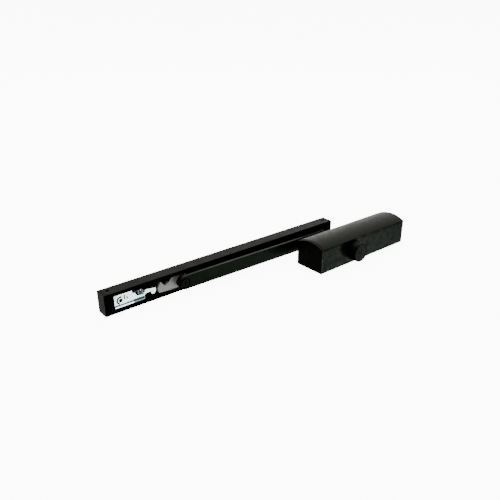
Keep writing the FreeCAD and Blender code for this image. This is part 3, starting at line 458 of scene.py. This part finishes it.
# Where the arm's painted highlight on its upper faces stops, beside the body; beyond it they get
# painted shade
HIGHLIGHT_END = -45 * MM


def cut_faces(node, *planes):
    """Cuts the faces of a softened part that any of the planes crosses, and keeps both sides."""
    piece = finished(node)
    mesh_data = bmesh.new()
    mesh_data.from_mesh(piece.data)
    for point, normal in planes:
        everything = mesh_data.verts[:] + mesh_data.edges[:] + mesh_data.faces[:]
        bmesh.ops.bisect_plane(mesh_data, geom=everything, plane_co=point, plane_no=normal)
    mesh_data.to_mesh(piece.data)
    mesh_data.free()
    smooth(piece)


def refinish(node, material, wanted):
    """Gives another finish to the faces of a softened part that a test picks out."""
    piece = finished(node)
    number = len(piece.data.materials)
    piece.data.materials.append(material)
    for face in piece.data.polygons:
        if wanted(face):
            face.material_index = number


def in_bead(face):
    return face.center.x < TAIL_START and BEAD_BOTTOM < face.center.z < BEAD_TOP


def in_lip_or_tail(face):
    in_tail = face.center.x > TAIL_START and face.center.z < TAIL_TOP
    return face.center.z < BEAD_BOTTOM or in_tail


def faces_front(face):
    return face.normal.y < -FACING


def faces_up(face):
    return face.normal.z > FACING


def finish_bracket():
    """The folded plate: a painted highlight on the bead below its face, painted shade on the lip
    and tail, and painted shade on its back.
    """
    cut_faces(
        "hold_open_bracket",
        ((TAIL_START, 0, 0), (1, 0, 0)),
        ((0, 0, BEAD_TOP), (0, 0, 1)),
        ((0, 0, BEAD_BOTTOM), (0, 0, 1)),
    )
    refinish("hold_open_bracket", PAINTED_HIGHLIGHT_ZINC, in_bead)
    refinish("hold_open_bracket", PAINTED_HALF_SHADE_ZINC, in_lip_or_tail)
    refinish("hold_open_bracket", PAINTED_SHADE_ZINC, lambda face: face.center.y > ZINC_SHADE)


def finish_arm():
    """The arm's upper faces get a painted highlight that fades towards the body, and painted shade
    beside it.
    """
    cut_faces("arm", ((HIGHLIGHT_END, 0, 0), (1, 0, 0)))
    refinish("arm", PAINTED_HIGHLIGHT_ARM_TOP, faces_up)
    refinish("arm", PAINTED_SHADE_BLACK, lambda face: faces_up(face) and face.center.x > HIGHLIGHT_END)


def finish_track():
    """The track's front and the floor of its channel get painted shade, and its left end gets
    painted light.
    """
    refinish("left_track_cap", PAINTED_LIGHT_CAP_END, lambda face: face.normal.x < -FACING)
    refinish("right_track_cap", PAINTED_SHADE_BLACK, faces_front)
    refinish("left_track_cap", PAINTED_SHADE_BLACK, faces_front)
    refinish(
        "track_profile",
        PAINTED_SHADE_BLACK,
        lambda face: faces_front(face) or faces_up(face) and face.center.z < CHANNEL_TOP,
    )


finish_bracket()
finish_arm()
finish_track()
# Faces of the catch lever and the slider that lie deep in the track get dark zinc as painted shade
refinish("catch_lever", PAINTED_SHADE_ZINC, lambda face: face.center.y > ZINC_SHADE)
refinish("slider_block", PAINTED_SHADE_ZINC, lambda face: face.center.y > NYLON_SHADE)


# Dark marks and painted shade on the hold-open plate


def middle_of(node):
    """The middle of a part's box, as X and Z."""
    low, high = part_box(node)
    return ((low.x + high.x) / 2, (low.z + high.z) / 2)


def around(middle, radius, angles):
    """Points at these angles on a circle, as pairs of coordinates."""
    return [(middle[0] + radius * math.cos(a), middle[1] + radius * math.sin(a)) for a in angles]


def whole_turn(sides):
    """Evenly spaced angles round a circle."""
    return [math.tau * n / sides for n in range(sides)]


def heading(path, number):
    """The direction of a path at one of its points."""
    before = path[max(number - 1, 0)]
    after = path[min(number + 1, len(path) - 1)]
    return (Vector(after) - Vector(before)).normalized()


def skin(mesh_data, rings):
    """Joins each ring of vertices to the next one with faces."""
    for here, there in zip(rings, rings[1:]):
        for n in range(len(here)):
            m = (n + 1) % len(here)
            mesh_data.faces.new((here[n], here[m], there[m], there[n]))


def closed_tube(mesh_data, rings):
    """Joins rings of vertices and closes both ends."""
    skin(mesh_data, rings)
    mesh_data.faces.new(rings[0][::-1])
    mesh_data.faces.new(rings[-1])


def add_thin_piece(name, mesh_data, material, body):
    """Adds a thin piece on a zinc part that moves with a body: a dark mark or a painted shade."""
    bmesh.ops.recalc_face_normals(mesh_data, faces=mesh_data.faces)
    piece = object_from(mesh_data, name)
    dress(piece, material)
    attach(piece, body)


def ribbon(path, width, front, depth):
    """The mesh of a flat strip along a path in XZ, from its front in Y to this much behind it."""
    mesh_data = bmesh.new()
    rings = []
    for number, (x, z) in enumerate(path):
        along = heading(path, number)
        across = Vector((-along.y, along.x)) * width / 2
        corners = ((-1, front), (-1, front + depth), (1, front + depth), (1, front))
        rings.append([
            mesh_data.verts.new((x + sign * across.x, y, z + sign * across.y))
            for sign, y in corners
        ])
    closed_tube(mesh_data, rings)
    return mesh_data


def disc(middle, radius, sides, front, depth):
    """The mesh of a flat disc or polygon that faces -Y, with a chamfered rim."""
    mesh_data = bmesh.new()
    outline = ((radius, front + depth), (radius, front + depth / 3), (radius * 0.93, front))
    rings = [
        [mesh_data.verts.new((x, y, z)) for x, z in around(middle, reach, whole_turn(sides))]
        for reach, y in outline
    ]
    closed_tube(mesh_data, rings)
    return mesh_data


# The plate's face is set back from the front of its bead
PLATE_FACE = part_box("hold_open_bracket")[0].y + 1.55 * MM
MARK_FRONT = PLATE_FACE - 0.1 * MM
MARK_DEPTH = 0.2 * MM


def clamp_groove_painted_shade():
    """A dark C strip round the clamp screw, painted shade of a stamped groove."""
    angles = [math.radians(a) for a in range(66, 251, 8)]
    path = around(middle_of("clamp_screw"), 5.1 * MM, angles)
    add_thin_piece("clamp_groove_painted_shade", ribbon(path, 2.1 * MM, MARK_FRONT, MARK_DEPTH), DARK_MARK_AND_SHADE, "track")


def index_line():
    """The upright line beside the clamp screw, a little bowed."""
    path = [(at_track(30.3), 16.6 * MM), (at_track(30.0), 20 * MM), (at_track(30.6), 23.6 * MM)]
    add_thin_piece("index_line", ribbon(path, 1.8 * MM, MARK_FRONT, MARK_DEPTH), DARK_MARK_AND_SHADE, "track")


def clamp_socket():
    """A dark hexagon on the clamp screw's head, painted shade of its socket."""
    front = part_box("clamp_screw")[0].y - 0.05 * MM
    hexagon = disc(middle_of("clamp_screw"), 3.2 * MM, 6, front, 0.3 * MM)
    add_thin_piece("clamp_socket", hexagon, DARK_MARK_AND_SHADE, "clamp_screw")


def rivet_hollow_painted_shade():
    """A dim disc on the rivet's head, painted shade of its hollow."""
    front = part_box("bracket_rivet")[0].y - 0.05 * MM
    hollow = disc(middle_of("bracket_rivet"), 1.5 * MM, 24, front, 0.2 * MM)
    add_thin_piece("rivet_hollow_painted_shade", hollow, PAINTED_HALF_SHADE_ZINC, "track")


# Springs


def wire_along(name, path, radius, sides):
    """A round wire along a path."""
    mesh_data = bmesh.new()
    rings = []
    side = Vector((0, 1, 0))
    for number, point in enumerate(path):
        along = heading(path, number)
        side = (side - along * side.dot(along)).normalized()
        other = along.cross(side)
        rings.append([
            mesh_data.verts.new(Vector(point) + (side * math.cos(a) + other * math.sin(a)) * radius)
            for a in whole_turn(sides)
        ])
    closed_tube(mesh_data, rings)
    piece = object_from(mesh_data, name)
    smooth(piece, 60)
    return piece


def torsion_spring():
    """The catch's spring: a coil round its pin, one leg on the bracket, one on the lever."""
    low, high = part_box("catch_spring")
    x, z = middle_of("catch_pivot_pin")
    wire, coil = 0.5 * MM, 3.5 * MM
    first_angle, turns, steps = math.radians(118), 2.35, 66
    front, back = low.y + wire, high.y - wire
    bracket_leg = (at_track(46.4), back, z + 1.0 * MM)
    lever_leg = (x + 8.0 * MM, front, z - 2.6 * MM)
    path = [bracket_leg]
    for step in range(steps + 1):
        part = step / steps
        angle = first_angle + math.tau * turns * part
        path.append((
            x + coil * math.cos(angle),
            back + (front - back) * part,
            z + coil * math.sin(angle),
        ))
    path.append(lever_leg)
    stand_for(wire_along("catch_torsion_spring", path, wire, 10), "catch_spring")


def closing_coil():
    """The closing spring in two lengths, named for the piston and the spring seat, both moving with
    the spring's own body.
    """
    low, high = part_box("closing_spring")
    wire = 2 * MM
    radius = (high.y - low.y) / 2 - wire
    middle = (low.z + high.z) / 2
    start, stop = low.x + wire, high.x - wire
    still = start + 0.75 * (stop - start)
    turns, steps_per_turn = 8, 28
    lengths = {
        "piston": (start, still, "piston_travel", 26.2 * MM),
        "seat": (still, stop, "seat_travel", 5.05 * MM),
    }
    for end, (left, right, joint, travel) in lengths.items():
        share = (right - left) / (stop - start)
        steps = round(share * turns * steps_per_turn)
        path = []
        for step in range(steps + 1):
            x = left + (right - left) * step / steps
            angle = math.tau * turns * (x - start) / (stop - start)
            path.append((x, radius * math.cos(angle), middle + radius * math.sin(angle)))
        piece = wire_along("closing_spring_" + end, path, wire, 12)
        stand_for(piece, "closing_spring")
        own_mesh(piece)


closing_coil()
clamp_groove_painted_shade()
index_line()
clamp_socket()
rivet_hollow_painted_shade()
torsion_spring()


# Stage


def point_camera():
    """Sets the camera where its yaw, pitch and roll are measured from +Y and the horizon."""
    place = (-0.6370, -0.5291, 0.3762)
    yaw, pitch, roll = 0.6920, 0.4217, 0.0016
    forward = Vector((
        math.cos(pitch) * math.sin(yaw),
        math.cos(pitch) * math.cos(yaw),
        -math.sin(pitch),
    ))
    right = forward.cross(Vector((0, 0, 1))).normalized()
    up = right.cross(forward)
    rolled_right = right * math.cos(roll) + up * math.sin(roll)
    rolled_up = up * math.cos(roll) - right * math.sin(roll)
    turn = Matrix((rolled_right, rolled_up, -forward)).transposed()
    lens = bpy.data.cameras.new("camera")
    lens.sensor_width = 36
    lens.lens = 38.45
    camera = bpy.data.objects.new("camera", lens)
    camera.matrix_world = Matrix.Translation(place) @ turn.to_4x4()
    bpy.context.scene.collection.objects.link(camera)
    bpy.context.scene.camera = camera


def softbox(name, place, width, height, power):
    """An area light at a place, turned towards the middle of the object."""
    lamp = bpy.data.lights.new(name, "AREA")
    lamp.shape = "RECTANGLE"
    lamp.size, lamp.size_y = width, height
    lamp.energy = power
    holder = bpy.data.objects.new(name, lamp)
    holder.location = place
    away = (CAD_BOX[0] + CAD_BOX[1]) / 2 - Vector(place)
    holder.rotation_euler = away.to_track_quat("-Z", "Y").to_euler()
    bpy.context.scene.collection.objects.link(holder)


def backdrop():
    """A pale floor just under the object that curves up into a wall all round, far off.

    It glows evenly and takes no part in the lighting, so lights can shine from below it.
    """
    gap = 0.2 * MM
    flat, bend, wall = 5.0, 1.5, 4.0
    bend_steps, sides = 12, 64
    profile = [(0.001, 0), (flat, 0)]
    for step in range(1, bend_steps + 1):
        angle = math.radians(90 * step / bend_steps)
        profile.append((flat + bend * math.sin(angle), bend - bend * math.cos(angle)))
    profile.append((flat + bend, wall))
    mesh_data = bmesh.new()
    rings = [
        [mesh_data.verts.new((x, y, z)) for x, y in around((0, 0), radius, whole_turn(sides))]
        for radius, z in profile
    ]
    skin(mesh_data, rings[::-1])
    mesh_data.faces.new(rings[0])
    sheet = object_from(mesh_data, "backdrop")
    smooth(sheet)
    sheet.location.z = CAD_BOX[0].z - gap
    look = Look("backdrop", (0.92, 0.92, 0.92), 0, 0.9, 0.1)
    look.mottle(look.noise(400), 0.3, 0.7, 0.2, (0.9, 0.9, 0.9))
    look.set("Emission Color", (1, 1, 1, 1))
    look.set("Emission Strength", 10.0)
    sheet.data.materials.append(look.material)
    sheet.visible_diffuse = False
    sheet.visible_glossy = False
    sheet.visible_shadow = False


def sky():
    """A studio that is bright behind, to the right and above, and dark on the other sides."""
    bright_side = (0.5, 0.7, 0.5)
    world = bpy.data.worlds.new("studio")
    bpy.context.scene.world = world
    world.use_nodes = True
    tree = world.node_tree
    background = tree.nodes["Background"]
    background.inputs["Color"].default_value = (1, 1, 1, 1)
    where = tree.nodes.new("ShaderNodeTexCoord")
    match = tree.nodes.new("ShaderNodeVectorMath")
    match.operation = "DOT_PRODUCT"
    match.inputs[1].default_value = bright_side
    ramp = tree.nodes.new("ShaderNodeMapRange")
    numbers = {"From Min": 0.3, "From Max": 0.95, "To Min": 0.12, "To Max": 2.5}
    for socket, number in numbers.items():
        ramp.inputs[socket].default_value = number
    tree.links.new(where.outputs["Generated"], match.inputs[0])
    tree.links.new(match.outputs["Value"], ramp.inputs["Value"])
    tree.links.new(ramp.outputs["Result"], background.inputs["Strength"])


point_camera()
backdrop()
sky()
softbox("top_light", (0.2, 0.3, 3.2), 4.0, 4.0, 120)
softbox("key_light", (1.60, -1.30, -0.92), 0.36, 0.36, 10)
softbox("plate_light", (0.28, -1.10, -0.69), 0.75, 0.5, 5.4)
softbox("back_light", (1.0, 1.4, -0.75), 1.2, 0.8, 22)
softbox("end_light", (-0.72, 0.89, -0.465), 0.4, 0.4, 0.45)
